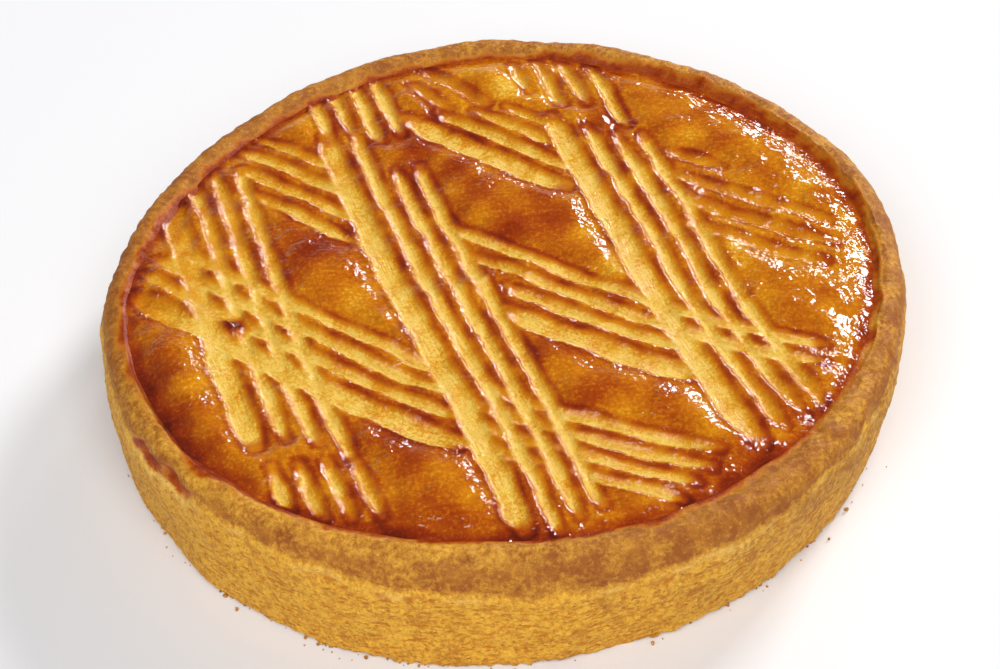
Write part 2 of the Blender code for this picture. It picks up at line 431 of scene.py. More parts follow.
@dataclass(frozen=True)
class Fork:
    """The groove that a tine leaves, in mm.

    The fork leans as it's pulled, so that a groove's wall on the right of its way is steep and
    scraped clean, and the one on the left is a long slope that keeps some of the egg wash.  That
    slope always lies on the back right, away from the window, and its darker wash is partly
    painted shade.
    """

    groove_width: float = 4.6
    groove_depth: float = 1.25
    light_depth: float = 0.8
    light_bared: float = 0.62  # share of its scraping when it only grazes the lid
    tilted_extra: float = 3.2  # added width of the ploughing tine
    steps: int = 36  # points of a groove's middle line
    steep_wall: float = 0.9  # width of the steep wall
    gentle_wall: float = 3.4  # width of the long slope
    edge: float = 0.35  # how far outside the groove's edge a wall starts
    pushed_up: float = 0.22  # dough ridged up along a groove's edge
    runout: float = 4.5  # length over which a groove fades in and out
    taper: float = 0.3  # share of its width that it loses there
    end_depth: float = 0.15  # share of its depth that it keeps there
    end_bared: float = 0.3  # share of its scraping that it keeps there
    even_ends: float = 3.0  # distance from an end up to which both walls are alike
    # The film and its ramp darken the gentle wall, which faces away from the window: partly the
    # wash the fork left, partly painted shade.
    film: float = 0.12  # wash left on the gentle wall
    film_and_shade: Ramp = (0.4, 1.0)  # of the way from the steep wall to the gentle one
    # How far inside the groove's edge the dough is bare, and how far outside the wash is whole,
    #     on the steep wall and on the gentle one; the gentle wall's longer fade to wash is partly
    #     painted shade.
    bare_inside: tuple[float, float] = (0.6, 2.4)
    whole_outside: tuple[float, float] = (0.4, 0.9)
    # The ridge and the torn glaze of the steep wall: how far outside its edge, how wide, and
    # over which length they fade at a groove's ends.
    ridge_at: float = 0.7
    ridge_width: float = 0.6
    torn_at: float = -0.1
    torn_width: float = 0.9
    steep_runout: float = 2.5
    reach: float = 14.0  # how far beyond its edge a groove is followed
    clear: float = 16.0  # clearance where no groove is that near
    wobble: tuple[Lumps, ...] = (Lumps(14.0, 0.20, seed=11), Lumps(3.0, 0.09, seed=13))
    unequal: Lumps = Lumps(16.0, 0.10, seed=12)  # share by which the depth varies


@dataclass(frozen=True)
class Drag:
    """One drag of the fork across the lid.

    Attributes:
        path: Bezier points of the fork's middle, in mm from the middle of the lid.
        spans: for each tine, from the right-hand side, the shares of the path where it goes
            in and comes out.
        hold: how the fork was held.
        pitch: distance between the grooves in mm, where it isn't the fork's own.
    """

    path: Points2D
    spans: Points2D
    hold: Hold = Hold.LEVEL
    pitch: float = 6.8

    def at(self, share: np.ndarray) -> np.ndarray:
        """Return Bezier points of the path, by repeated blending of its control points."""
        level = [np.broadcast_to(np.array(point), (len(share), 2)) for point in self.path]
        blend = share[:, None]
        while len(level) > 1:
            level = [a + (b - a) * blend for a, b in zip(level, level[1:])]
        return level[0]


@dataclass(frozen=True)
class Groove:
    """The trail of one tine: its middle line and its sizes in mm."""

    trail: np.ndarray
    half_width: float
    depth: float
    bared: float

    @classmethod
    def from_drag(cls, drag: Drag, tine: int, fork: Fork) -> "Groove":
        """Work out one tine's trail: the drag's path moved sideways by the tine's offset.

        Args:
            drag: the drag that the tine is part of.
            tine: the tine's number, from the right-hand side.
            fork: the fork's sizes.

        Returns:
            The tine's groove.
        """
        offset = (tine - 0.5 * (len(drag.spans) - 1)) * drag.pitch
        width = fork.groove_width
        if drag.hold is Hold.TILTED and tine == 0:
            width += fork.tilted_extra
            offset -= 0.5 * fork.tilted_extra
        share = np.linspace(*drag.spans[tine], fork.steps)
        heading = drag.at(share + STEP) - drag.at(share - STEP)
        heading /= np.linalg.norm(heading, axis=1, keepdims=True)
        left = np.stack([-heading[:, 1], heading[:, 0]], axis=-1)
        light = drag.hold is Hold.LIGHT
        return cls(trail=drag.at(share) + left * offset, half_width=0.5 * width,
                   depth=fork.light_depth if light else fork.groove_depth,
                   bared=fork.light_bared if light else 1.0)

    def nearest(self, spots: np.ndarray) -> tuple[np.ndarray, ...]:
        """Measure points against the trail.

        For each stretch of the trail the point's share along it is clamped to 0..1, which
        rounds the groove's ends, and the shortest distance counts.

        Args:
            spots: points in mm, one row each.

        Returns:
            The distance from the middle line, the same with a minus sign on the right of the
            fork's way, the distance from the nearer end along the trail, and the place along
            the trail, all in mm.
        """
        starts = self.trail[:-1]
        steps = self.trail[1:] - starts
        lengths = np.linalg.norm(steps, axis=1)
        reached = np.concatenate([[0.0], np.cumsum(lengths)])
        offsets = spots[:, None, :] - starts[None]
        shares = np.clip((offsets * steps).sum(-1) / lengths ** 2, 0.0, 1.0)
        gaps = np.linalg.norm(offsets - shares[..., None] * steps, axis=-1)
        pick = gaps.argmin(axis=1)
        row = np.arange(len(spots))
        place = reached[pick] + shares[row, pick] * lengths[pick]
        step, offset = steps[pick], offsets[row, pick]
        side = (step[:, 0] * offset[:, 1] - step[:, 1] * offset[:, 0]) / lengths[pick]
        return gaps[row, pick], side, np.minimum(place, reached[-1] - place), place


@dataclass
class Scoring:
    """What the fork did at each point of the lid.

    Attributes:
        depth: how deep the grooves are there, in mm.
        bared: 0 where the egg wash is whole, 1 where the fork has scraped it off.
        torn: 1 along the steep walls, whose glaze tore as the tine passed.
        clearance: distance to the nearest groove's edge, in mm.
        stroke: place along and across the groove that bares it most, in mm, and 0.
    """

    depth: np.ndarray
    bared: np.ndarray
    torn: np.ndarray
    clearance: np.ndarray
    stroke: np.ndarray


DRAGS: tuple[Drag, ...] = (
    # Away from the back edge towards the front.
    Drag(((-87.3, 58.3), (-74.4, 11.9), (-66.8, -27.3), (-53.4, -72.2)),
         ((0.05, 0.88), (0.01, 0.89), (0.01, 0.93), (0.03, 1.00)), Hold.TILTED),
    Drag(((-55.9, -64.0), (-46.6, -94.3)),
         ((0.05, 0.55), (0.12, 0.76), (0.18, 0.86), (0.28, 0.99))),
    Drag(((-45.5, 97.8), (-36.5, 62.0)),
         ((0.15, 0.74), (0.07, 0.80), (0.07, 0.98), (0.07, 0.97))),
    Drag(((-38.3, 71.3), (-24.8, 12.8), (-2.6, -41.3), (12.2, -100.4)),
         ((0.00, 0.98), (0.01, 1.00), (0.13, 0.98), (0.14, 0.97)), Hold.TILTED),
    Drag(((17.7, 103.1), (30.8, 58.9)),
         ((0.06, 0.38), (0.06, 0.59), (0.14, 0.65), (0.24, 0.97)), pitch=7.3),
    Drag(((28.6, 74.1), (46.3, 24.6), (51.9, -22.3), (74.5, -69.4)),
         ((0.01, 0.98), (0.06, 0.97), (0.11, 0.96), (0.13, 0.97)), Hold.TILTED),
    # Across them, from the back left to the front right.
    Drag(((-80.1, 64.5), (-56.9, 48.2), (-33.8, 26.3)),
         ((0.34, 1.00), (0.15, 0.90), (0.04, 0.80), (0.06, 0.59)), pitch=7.5),
    Drag(((-17.8, 81.8), (4.7, 62.4), (27.6, 45.5)),
         ((0.00, 1.00), (0.10, 0.96), (0.24, 0.76), (0.36, 0.66)), Hold.TILTED),
    Drag(((-19.2, 12.2), (16.9, -13.0), (46.0, -36.3), (89.2, -50.0)),
         ((0.25, 0.71), (0.21, 0.67), (0.08, 0.95), (0.00, 0.94)), Hold.TILTED),
    Drag(((-105.3, 20.9), (-73.7, -7.5), (-41.6, -33.7), (-9.1, -57.9)),
         ((0.10, 1.00), (0.06, 0.95), (0.05, 0.91), (0.07, 0.84)), Hold.TILTED),
    Drag(((-15.0, -53.5), (-3.0, -61.6), (12.0, -68.0)),
         ((0.00, 1.00), (0.00, 1.00), (0.00, 1.00), (0.00, 0.98)), Hold.LIGHT),
    Drag(((42.2, 39.9), (72.3, 18.8), (100.1, 4.6)),
         ((0.28, 0.93), (0.18, 0.93), (0.10, 0.84), (0.03, 0.27)), Hold.LIGHT, pitch=8.8),
    Drag(((4.8, -64.9), (25.8, -74.4), (48.3, -82.6)),
         ((0.32, 0.92), (0.19, 0.96), (0.12, 0.99), (0.00, 1.00)), pitch=6.5),
    Drag(((-24.5, 97.8), (-4.1, 74.5)), ((0.23, 0.77), (0.06, 0.99)), Hold.LIGHT, pitch=9.0),
)


# ---- finishes ----


@dataclass(frozen=True)
class EggWash:
    """The colours that brushed-on egg yolk bakes to, from bare dough to a thick pool.

    Yolk on raw dough bakes to a clear brown varnish: the more of it there is, the darker it
    gets, from gold through ochre and amber to mahogany.
    """

    # Thickness of the wash, 0 to 1, and its colour.
    scale: tuple[tuple[float, str], ...] = (
        (0.00, "#EAC862"), (0.07, "#E4BA46"), (0.14, "#DEA42E"), (0.28, "#CF820A"),
        (0.42, "#BE6A08"), (0.58, "#A44604"), (0.76, "#882A04"), (1.00, "#581403"),
    )

    def tint(self, tree: bpy.types.NodeTree, thickness: bpy.types.Node) -> bpy.types.Node:
        """Colour the wash by its thickness.

        Args:
            tree: the material's node tree.
            thickness: the node that gives it, 0 to 1.

        Returns:
            The node that gives the colour.
        """
        colours = add_node(tree, "ValToRGB", (thickness,))
        stops = colours.color_ramp.elements
        stops.remove(stops[0])
        stops[0].position = 1.0
        stops[0].color = linear(self.scale[-1][1])
        for level, colour in self.scale[:-1]:
            stops.new(level).color = linear(colour)
        return colours


@dataclass(frozen=True)
class EggWashedCrust:
    """Egg-washed, baked shortcrust: gold where it's scraped, amber to mahogany under the wash.

    The varnish is glossy and finely blistered, so it breaks a window's reflection into dots,
    and the scraped dough is matte, sandy and furrowed.  Heights of its relief are in mm.
    """

    wash: EggWash = EggWash()
    thickest: float = 1.3  # reading of toast that the wash's last colour stands for
    wash_roughness: float = 0.09
    dough_roughness: float = 0.6
    glossy_from: float = 0.35  # wash from which the varnish is at its glossiest
    cloud: Grain = (9.0, 5.0, 0.6)  # patches of thicker wash
    speck: Grain = (1.1, 3.0, 0.7)  # specks of thicker and thinner wash
    blister: Grain = (1.7, 0.8, 0.5)  # the varnish's blisters
    grain: Grain = (0.5, 2.0, 0.7)  # grains of the scraped dough
    furrow: tuple[float, float] = (9.0, 0.62)  # mm, along and across the tine's way
    brush: tuple[float, float, float] = (22.0, 1.2, 6.0)  # mm, lines that the brush left
    brush_turn: float = 8.0  # degrees
    thickening: tuple[float, float, float] = (0.6, 0.2, 1.2)  # by clouds, lines and specks
    fray: float = 1.1  # how much the specks fray the edge of the wash
    film: float = 0.08  # wash left on the scraped dough
    thinning: tuple[float, float] = (0.32, 0.5)  # of that film, by furrows and grains
    bead: tuple[float, float] = (0.50, 0.58)  # noise over which a blister beads
    bead_gloss: float = 1.2
    blister_height: float = 0.85  # where it's most blistered
    speck_height: float = 0.03
    brush_height: float = 0.04
    grain_height: float = 0.22
    furrow_height: float = 0.15

    def make(self) -> bpy.types.Material:
        """Build the material.

        Returns:
            The glazed crust, which reads the lid's bared, toast, crackle and stroke attributes.
        """
        material, tree, shader = new_material("egg_washed_shortcrust")
        add = partial(add_node, tree)
        place = add("TexCoord").outputs["Object"]
        bared, toast, crackle = (add("Attribute", attribute_name=title).outputs["Fac"]
                                 for title in ("bared", "toast", "crackle"))
        stroke = add("Attribute", attribute_name="stroke").outputs["Vector"]
        cloud, speck, blister, grain = (
            add("TexNoise", {"Vector": place, "Scale": PER_METRE / size, "Detail": detail,
                             "Roughness": roughness})
            for size, detail, roughness in (self.cloud, self.speck, self.blister, self.grain))
        ploughed = add("Mapping", {
            "Vector": stroke, "Scale": (1.0 / self.furrow[0], 1.0 / self.furrow[1], 1.0)})
        furrow = add("TexNoise", {"Vector": ploughed, "Scale": 1.0, "Detail": 2.0})
        brushed = add("Mapping", {
            "Vector": place, "Rotation": (0.0, 0.0, math.radians(self.brush_turn)),
            "Scale": tuple(PER_METRE / size for size in self.brush)})
        brush = add("TexNoise", {
            "Vector": brushed, "Scale": 1.0, "Detail": 2.0, "Distortion": 0.5})

        # How much wash is left, 0 to 1: its edge frays by the specks.
        frayed = add("Math", (speck, -self.fray, 1.0 + 0.5 * self.fray),
                     operation="MULTIPLY_ADD")
        left = add("Math", (frayed, bared), operation="SUBTRACT", use_clamp=True)
        # Its thickness: the toast, with clouds, lines and specks spread evenly about it.  A
        # noise is 0.5 on average, so half a weight comes off again.
        baked = toast
        for pattern, weight in zip((cloud, brush, speck), self.thickening):
            baked = add("Math", (pattern, weight, baked), operation="MULTIPLY_ADD")
        even = add("Math", (baked, 0.5 * sum(self.thickening)), operation="SUBTRACT")
        wash = add("Math", (even, left), operation="MULTIPLY")
        # And the film that the fork left.
        film = self.film + 0.5 * sum(self.thinning)
        for pattern, weight in zip((furrow, grain), self.thinning):
            film = add("Math", (pattern, -weight, film), operation="MULTIPLY_ADD")
        thickness = add("Math", (film, bared, wash), operation="MULTIPLY_ADD")
        share = add("Math", (thickness, self.thickest), operation="DIVIDE")

        bead = add("MapRange", {
            "Value": blister, "From Min": self.bead[0], "From Max": self.bead[1],
            "To Max": self.bead_gloss}, interpolation_type="SMOOTHSTEP")
        glazed = add("Math", (crackle, bead, left), operation="MULTIPLY_ADD")
        gloss = add("MapRange", {
            "Value": glazed, "From Max": self.glossy_from, "To Min": self.dough_roughness,
            "To Max": self.wash_roughness})

        # Relief in metres: blisters and brush lines, or furrows and sand.
        skin = add("Math", (speck, self.speck_height * MM), operation="MULTIPLY")
        varnish = add("Math", (brush, self.brush_height * MM, skin), operation="MULTIPLY_ADD")
        sand = add("Math", (grain, self.grain_height * MM), operation="MULTIPLY")
        furrows = add("Math", (furrow, self.furrow_height * MM, sand), operation="MULTIPLY_ADD")
        skinned = add("Mix", {0: bared, VALUE_A: varnish, VALUE_B: furrows})
        swollen = add("Math", (crackle, self.blister_height * MM), operation="MULTIPLY")
        relief = add("Math", (blister, swollen, skinned), operation="MULTIPLY_ADD")
        bump = add("Bump", {"Height": relief, "Distance": 1.0, "Strength": 1.0})
        feed(shader, {"Base Color": self.wash.tint(tree, share), "Roughness": gloss,
                      "Normal": bump, "IOR": 1.5})
        return material


@dataclass(frozen=True)
class BakedWallCrust:
    """Bare baked shortcrust: it rose against the tin and took a dry, sandy, golden crust.

    Butter dough against metal bakes gold, with level pores and tears where layers of crumb
    pulled apart.  The shoulder, which stood proud of the tin, browns and mottles, and the
    egg wash ran a little way up the inside of the lip.  Heights of its relief are in mm.
    """

    wash: EggWash = EggWash()
    gold: str = "#EBB13C"
    gold_deep: str = "#D8962C"
    brown: str = "#9A561E"
    brown_light: str = "#BA7A28"
    edge_pale: str = "#EEC062"
    # The pores' darker colour is painted shade in their hollows.
    pore_shade_colour: str = "#BA6A16"
    roughness: float = 0.62
    wash_roughness: float = 0.32
    specular: float = 0.2
    mottle: Grain = (6.0, 5.0, 0.65)  # patches of the browned shoulder
    speckle: Grain = (1.5, 4.0, 0.65)  # lumps of the crumb
    grain: Grain = (0.6, 2.0, 0.7)  # sand
    pore: tuple[float, float, float] = (2.0, 2.0, 0.75)  # mm, longer than it's high
    pore_open: tuple[float, float] = (0.68, 0.80)  # noise over which a pore opens
    more_pores: float = 0.07  # what a porous crust adds to that noise
    gold_range: tuple[float, float] = (0.82, 1.14)  # noise from the deep gold to the light one
    brown_range: tuple[float, float] = (0.38, 0.64)
    brown_edge: tuple[float, float] = (-0.05, 1.15)
    sandy: tuple[float, float] = (0.80, 1.14)  # how dark and light the grains are
    wash_edge: tuple[float, float] = (0.12, 0.62)  # wash over which it hides the crust
    wash_mottle: float = 0.9
    grain_height: float = 0.20
    speckle_height: float = 0.38
    layer_height: float = 0.08
    pore_depth: float = 0.20

    def make(self) -> bpy.types.Material:
        """Build the material.

        Returns:
            The wall's crust, which reads the brown, pale, pits, porous and wash attributes.
        """
        material, tree, shader = new_material("baked_shortcrust")
        add = partial(add_node, tree)
        place = add("TexCoord").outputs["Object"]
        brown, pale, pits, porous, washed = (
            add("Attribute", attribute_name=title).outputs["Fac"]
            for title in ("brown", "pale", "pits", "porous", "wash"))
        mottle, speckle, grain = (
            add("TexNoise", {"Vector": place, "Scale": PER_METRE / size, "Detail": detail,
                             "Roughness": roughness})
            for size, detail, roughness in (self.mottle, self.speckle, self.grain))
        level = add("Mapping", {
            "Vector": place, "Scale": tuple(PER_METRE / size for size in self.pore)})
        layers = add("TexNoise", {
            "Vector": level, "Scale": 0.6, "Detail": 4.0, "Roughness": 0.6, "Distortion": 0.4})
        bubbles = add("TexNoise", {
            "Vector": level, "Scale": 1.0, "Detail": 2.0, "Roughness": 0.5, "Distortion": 0.6})

        # Pores open where the bubbles' noise is high, and more of them where the wall is porous.
        swollen = add("Math", (porous, self.more_pores, bubbles), operation="MULTIPLY_ADD")
        pore = add("MapRange", {
            "Value": swollen, "From Min": self.pore_open[0], "From Max": self.pore_open[1]},
            interpolation_type="SMOOTHSTEP")
        shaded_hollow = add("Math", (pore, pits), operation="MAXIMUM")

        # Gold, browned in patches, pale along the tin's line, sandy, and darker in the pores:
        # painted shade in their hollows.
        crumbly = add("Math", (mottle, speckle), operation="ADD")
        patchy = add("Math", (speckle, -2.0, 1.0), operation="MULTIPLY_ADD")
        browning = add("Math", (brown, patchy), operation="ADD")
        gold_share, brown_tone, brown_share = (
            add("MapRange", {"Value": value, "From Min": low, "From Max": high})
            for value, (low, high) in ((crumbly, self.gold_range), (mottle, self.brown_range),
                                       (browning, self.brown_edge)))
        gold, browned = (
            add("Mix", {0: share, COLOUR_A: linear(deep), COLOUR_B: linear(light)},
                data_type="RGBA")
            for share, deep, light in ((gold_share, self.gold_deep, self.gold),
                                       (brown_tone, self.brown, self.brown_light)))
        sandy = add("MapRange", {
            "Value": grain, "From Min": 0.3, "From Max": 0.7, "To Min": self.sandy[0],
            "To Max": self.sandy[1]})

        # The wash thins out up the lip; the same reading darkens the crack with painted shade.
        speckled = add("Math", (mottle, self.wash_mottle, -0.5 * self.wash_mottle),
                       operation="MULTIPLY_ADD")
        thickness = add("Math", (washed, speckled), operation="ADD")
        varnished = add("MapRange", {
            "Value": thickness, "From Min": self.wash_edge[0], "From Max": self.wash_edge[1]},
            interpolation_type="SMOOTHSTEP")
        crust = gold
        for share, over in ((brown_share, browned), (pale, linear(self.edge_pale))):
            crust = add("Mix", {0: share, COLOUR_A: crust, COLOUR_B: over}, data_type="RGBA")
        crust = add("VectorMath", {0: crust, "Scale": sandy}, operation="SCALE")
        for share, over in ((shaded_hollow, linear(self.pore_shade_colour)),
                            (varnished, self.wash.tint(tree, thickness))):
            crust = add("Mix", {0: share, COLOUR_A: crust, COLOUR_B: over}, data_type="RGBA")
        rough = add("Mix", {0: varnished, VALUE_A: self.roughness,
                            VALUE_B: self.wash_roughness})

        # Relief in metres: sand, lumps and layers of crumb, less the pores.
        relief = 0.0
        for pattern, height in ((grain, self.grain_height), (speckle, self.speckle_height),
                                (layers, self.layer_height), (pore, -self.pore_depth)):
            relief = add("Math", (pattern, height * MM, relief), operation="MULTIPLY_ADD")
        bump = add("Bump", {"Height": relief, "Distance": 1.0, "Strength": 1.0})
        feed(shader, {"Base Color": crust, "Roughness": rough, "Normal": bump,
                      "Specular IOR Level": self.specular})
        return material


@dataclass(frozen=True)
class CrumbFinish:
    """Baked crumb: dry grains broken off the crust, a little lighter than it."""

    gold: str = "#D79F3C"
    toasted: str = "#9C5A16"
    tone_size: float = 2.5  # mm over which the colour changes
    tone_range: tuple[float, float] = (0.35, 0.6)
    roughness: float = 0.7

    def make(self) -> bpy.types.Material:
        """Build the material, whose colour changes from crumb to crumb."""
        material, tree, shader = new_material("shortcrust_crumb")
        place = add_node(tree, "TexCoord").outputs["Object"]
        tone = add_node(tree, "TexNoise", {
            "Vector": place, "Scale": PER_METRE / self.tone_size, "Detail": 3.0})
        share = add_node(tree, "MapRange", {
            "Value": tone, "From Min": self.tone_range[0], "From Max": self.tone_range[1]})
        crumb = add_node(tree, "Mix", {
            0: share, COLOUR_A: linear(self.toasted), COLOUR_B: linear(self.gold)},
            data_type="RGBA")
        feed(shader, {"Base Color": crumb, "Roughness": self.roughness})
        return material


# ---- the pieces ----


@dataclass(frozen=True)
class GlazedLid:
    """The sunken lid: a shallow dome with puffed fields between the fork's grooves."""

    form: CakeForm
    fork: Fork = Fork()
    drags: tuple[Drag, ...] = DRAGS
    quads: int = 300  # along each side of the square that is bent into a disc
    puff: float = 1.8  # mm that an unscored field rises
    puff_reach: float = 4.8  # mm from a groove over which it rises
    skirt: float = 2.4  # mm that the lid's edge goes down into the crease
    # Patches that baked darkest, a burnt blister, and a dark stripe of painted shade along the
    # front field under the wide groove's edge.
    toasted: tuple[Spot, ...] = (
        Spot(-55, 15, 13, 0.46), Spot(-14, 44, 18, 0.2), Spot(8, 20, 13, 0.32),
        Spot(-20, 66, 12, 0.3), Spot(12, -31, 9, 0.34), Spot(-31, -63, 12, 0.28),
        Spot(-2, -98, 12, 0.25), Spot(-30, -98, 16, 0.25), Spot(36, 68, 10, 0.25),
        Spot(72, 70, 14, 0.15), Spot(60, -84, 12, 0.35), Spot(-75, -12.5, 3.4, 0.7),
        Spot(26, -50, 14, 0.16), Spot(-96, -20, 14, 0.12),
        # The last three spots here are the front field's stripe of painted shade under the wide
        # groove's edge.
        Spot(-95, 42, 9, 0.3), Spot(-34, -63, 6, 0.2), Spot(-24, -65, 6, 0.26),
        Spot(-15, -68, 6, 0.2),
    )
    # Places where the wash is thin and orange.
    thin: tuple[Spot, ...] = (
        Spot(-84, 20, 20, 0.16), Spot(-66, -12, 16, 0.12),
        Spot(72, 5, 18, 0.16), Spot(8, 88, 20, 0.2), Spot(-40, -2, 10, 0.1),
    )
    # Places where the fork smeared the wash rather than scraping it off.
    smeared: tuple[Spot, ...] = (
        Spot(-84, 26, 22, 0.32), Spot(-99, 0, 12, 0.30), Spot(-75, -12.5, 3.2, 1.0),
        Spot(78, -62, 16, 0.35), Spot(6, 90, 22, 0.30), Spot(66, 12, 16, 0.25),
        Spot(-40, -88, 14, 0.25), Spot(-50, 62, 14, 0.2),
    )
    # Places where the varnish blistered most.
    blistered: tuple[Spot, ...] = (
        Spot(-85, -24, 12, 1.0), Spot(-80, -38, 8, 0.8), Spot(-93, -6, 9, 1.0),
        Spot(-45, 20, 8, 0.7), Spot(66, 30, 14, 0.4), Spot(64, -4, 12, 0.5),
        Spot(-36, 8, 7, 0.8), Spot(-31, -7, 6, 0.8), Spot(-28, -23, 6, 0.8), Spot(29, 25, 9, 0.9),
        Spot(33, 8, 7, 0.9), Spot(-2, 40, 8, 0.6), Spot(88, 0, 20, 0.6), Spot(82, 44, 24, 0.5),
        Spot(86, -46, 16, 0.6), Spot(-38, -66, 7, 1.0), Spot(-16, -72, 5, 1.0),
        Spot(-26, -85, 4, 1.0), Spot(17, -82, 4, 1.0), Spot(30, -41, 4, 0.8), Spot(37, -57, 5, 0.8),
        Spot(-6, -92, 10, 0.4), Spot(-64, 16, 12, 0.5),
    )
    swellings: tuple[Spot, ...] = (
        Spot(-92, -26, 15, 1.0), Spot(-75, -12.5, 3.4, 0.7), Spot(-52, 10, 16, 0.4),
        Spot(5, 28, 18, 0.35), Spot(22, -45, 16, 0.35),
    )
    # Ring-shaped blisters of the wash: middle, ring radius and height in mm.
    blisters: tuple[Spot, ...] = (
        Spot(68, -11, 3.4, 0.35), Spot(77, -11, 2.4, 0.3), Spot(81, -21, 3.0, 0.35),
        Spot(86, -53, 3.6, 0.4), Spot(68, -42, 2.0, 0.3), Spot(90, -6, 2.6, 0.3),
    )
    blister_wall: float = 0.8  # mm, how wide a ring's swelling is
    # Distances from the rim, in mm, over which the forms of the lid set in.
    inland: Ramp = (0.0, 7.0)
    valley_fill: Ramp = (0.0, 9.0)
    puff_margin: Ramp = (0.5, 13.0)
    groove_margin: Ramp = (-0.5, 1.5)
    bared_margin: Ramp = (0.0, 1.5)
    # Ripples of the wash beside the rim, on the right.
    ripple_direction: float = 14.0  # degrees
    ripple_length: float = 3.0  # mm from one crest to the next
    ripple_height: float = 0.16
    ripple_inset: float = 5.0  # mm from the rim
    ripple_spread: float = 4.5
    ripple_wander: Lumps = Lumps(16.0, 0.35, seed=24)
    # Unevenness of the whole lid, and of the wash alone, in mm.
    heave: tuple[Lumps, ...] = (Lumps(22.0, 0.28, seed=21), Lumps(6.5, 0.075, seed=22))
    skin: Lumps = Lumps(2.2, 0.022, seed=23)
    # How the wash toasted, 0 to 1 and a little over, and where it's thicker or thinner.
    toast: float = 0.53
    toast_clouds: Lumps = Lumps(13.0, 0.07, seed=31)
    ridge_toast: float = 0.33
    ridge_reach: Ramp = (0.3, 2.0)  # mm from a groove's edge over which it ends
    ridge_clouds: Lumps = Lumps(8.0, 0.08, seed=36)
    torn_toast: float = 0.3
    # Darker wash beside the rim and in the crease's valley: partly pooled wash, partly painted
    # shade of the crease.
    rim_toast_and_shade: float = 0.38
    rim_reach: Ramp = (0.3, 4.5)
    rim_clouds: Lumps = Lumps(9.0, 0.6, seed=32)
    valley_toast_and_shade: float = 0.35
    valley_reach: Ramp = (2.0, 10.0)
    bared_clouds: Lumps = Lumps(9.0, 0.06, seed=33)
    # How blistered the varnish is, 0 to 1 and a little over: by itself, beside the grooves,
    # beside the rim and on the torn walls.
    crackle: float = 0.24
    groove_crackle: float = 0.45
    groove_crackle_reach: float = 4.0
    rim_crackle: float = 0.2
    rim_crackle_reach: float = 10.0
    torn_crackle: float = 0.32
    crackle_clouds: Lumps = Lumps(8.0, 0.45, seed=34)

    def disc(self) -> tuple[np.ndarray, np.ndarray]:
        """Bend a square grid into a disc.

        The larger of the square's two coordinates becomes the share of the radius, and the
        ratio of the smaller to it, times 45 degrees, the angle within that quarter.

        Returns:
            The share of the radius and the angle of each point, row by row.
        """
        line = np.linspace(-1.0, 1.0, self.quads + 1)
        across, up = np.meshgrid(line, line)
        across, up = across.ravel(), up.ravel()
        wide = np.abs(across) > np.abs(up)
        share = np.where(wide, across, up)
        other = np.where(wide, up, across)
        ratio = np.divide(other, share, out=np.zeros_like(share), where=share != 0.0)
        angle = np.where(wide, 0.25 * math.pi * ratio, 0.5 * math.pi - 0.25 * math.pi * ratio)
        angle = np.where(share < 0.0, angle + math.pi, angle)
        return np.abs(share), angle

    def score(self, x: np.ndarray, y: np.ndarray) -> Scoring:
        """Work out what every tine did at each point.

        A groove's wall is an s-curve whose width grows from the steep side to the gentle one.
        Grooves that cross join as the fourth root of the sum of their depths' fourth powers,
        and the wash that is left is the product of what each tine leaves.

        Args:
            x: points across the lid, in mm from its middle.
            y: the same, away from the front.

        Returns:
            The depth, baring, tearing, clearance and stroke at each point.
        """
        fork = self.fork
        spots = np.stack([x, y], axis=-1)
        wobble = weigh_all(fork.wobble, spots)
        unequal = 1.0 + fork.unequal.weigh(spots)
        fourth, raised, torn, most = np.zeros((4, len(spots)))
        kept = np.ones(len(spots))
        clearance = np.full(len(spots), fork.clear)
        stroke = np.zeros((len(spots), 3))
        grooves = [Groove.from_drag(drag, tine, fork)
                   for drag in self.drags for tine in range(len(drag.spans))]
        for groove in grooves:
            margin = groove.half_width + fork.reach
            low, high = groove.trail.min(axis=0) - margin, groove.trail.max(axis=0) + margin
            near = np.flatnonzero(np.all((spots > low) & (spots < high), axis=1))
            gap, side, ending, place = groove.nearest(spots[near])
            fade = fork.end_depth + (1.0 - fork.end_depth) * smoothstep(0.0, fork.runout, ending)
            narrowed = 1.0 - fork.taper * (1.0 - smoothstep(0.0, 2.0 * fork.runout, ending))
            past = gap - groove.half_width * narrowed + wobble[near]
            # From 0 at the steep wall to 1 at the gentle one, and even at the ends.
            lean = np.clip(side / groove.half_width, -1.0, 1.0)
            lean = 0.5 + 0.5 * lean * smoothstep(0.0, fork.even_ends, ending)
            wall = fork.steep_wall + (fork.gentle_wall - fork.steep_wall) * lean
            cut = 1.0 - smoothstep(-wall, fork.edge, past)
            fourth[near] += (groove.depth * fade * unequal[near] * cut) ** 4
            # The scraping stops further in on the gentle wall, and leaves it a film; that darker
            # wash on the wall facing away from the window is partly painted shade.
            bare_to, whole_from = (np.interp(lean, (0.0, 1.0), ends)
                                   for ends in (fork.bare_inside, fork.whole_outside))
            scraped = 1.0 - smoothstep(-bare_to, whole_from, past)
            film_and_shade = fork.film * smoothstep(*fork.film_and_shade, lean)
            bare = groove.bared * scraped * (fork.end_bared + (1.0 - fork.end_bared) * fade)
            bare *= 1.0 - film_and_shade
            kept[near] *= 1.0 - bare
            steep = fade * (1.0 - lean) * smoothstep(0.0, fork.steep_runout, ending)
            ridge = bell(past - fork.ridge_at, fork.ridge_width) * steep
            tear = bell(past - fork.torn_at, fork.torn_width) * steep
            raised[near] = np.maximum(raised[near], ridge)
            torn[near] = np.maximum(torn[near], tear)
            clearance[near] = np.minimum(clearance[near], np.maximum(past, 0.0))
            stronger = bare > most[near]
            chosen = near[stronger]
            most[chosen] = bare[stronger]
            stroke[chosen, 0] = place[stronger]
            stroke[chosen, 1] = side[stronger]
        depth = fourth ** 0.25 - fork.pushed_up * raised * kept
        return Scoring(depth=depth, bared=1.0 - kept, torn=torn, clearance=clearance,
                       stroke=stroke)

